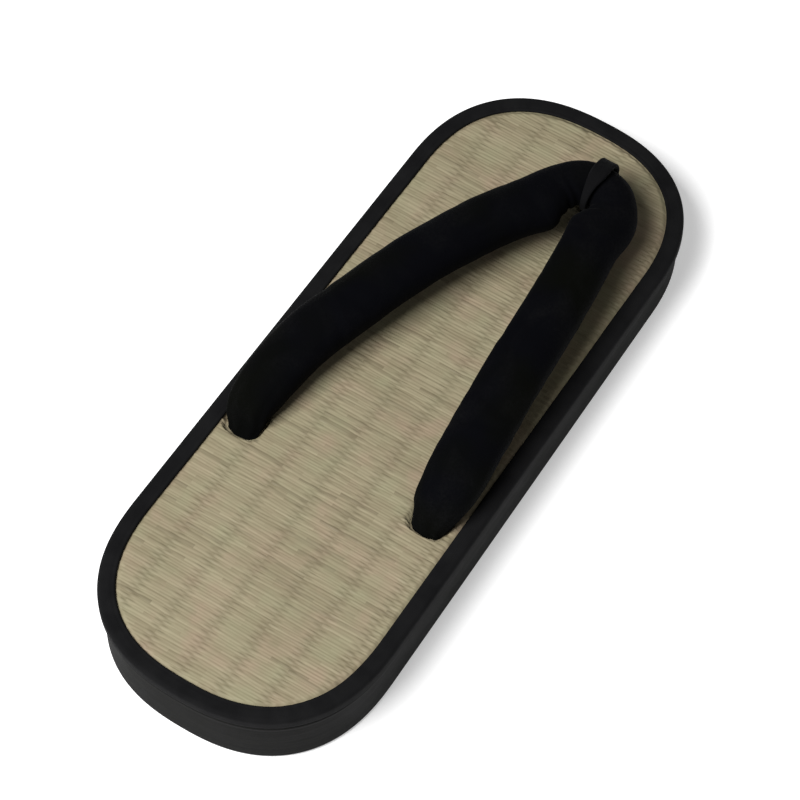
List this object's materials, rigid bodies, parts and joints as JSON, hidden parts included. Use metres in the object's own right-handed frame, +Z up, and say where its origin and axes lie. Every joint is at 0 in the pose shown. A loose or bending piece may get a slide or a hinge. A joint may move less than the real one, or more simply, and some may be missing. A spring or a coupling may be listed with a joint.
{
  "type": "zori sandal",
  "caption": "Zori sandal: flat wedge sole, woven rush mat with a dark bound edge, and a padded black V strap held by a toe loop.",
  "frame": {"origin": "on the floor, under the middle of the sandal's length and width", "axes": "+X points at the toe, +Y at the sandal's left side seen from above with the toe ahead, +Z up"},
  "size_m": [0.267, 0.102, 0.0486],
  "materials": {
    "sole": "satin charcoal rubber",
    "rush_mat": "matt woven rush, khaki tan, fibres across the width",
    "edge_binding": "matt black cloth",
    "strap": "matt black velvet-like cloth, softly padded",
    "toe_loop": "matt black cloth band"
  },
  "bodies": {
    "root": {"sole": "sole", "rush_mat": "rush_mat", "edge_binding": "edge_binding", "strap": "strap", "toe_loop": "toe_loop"}
  },
  "joints": []
}
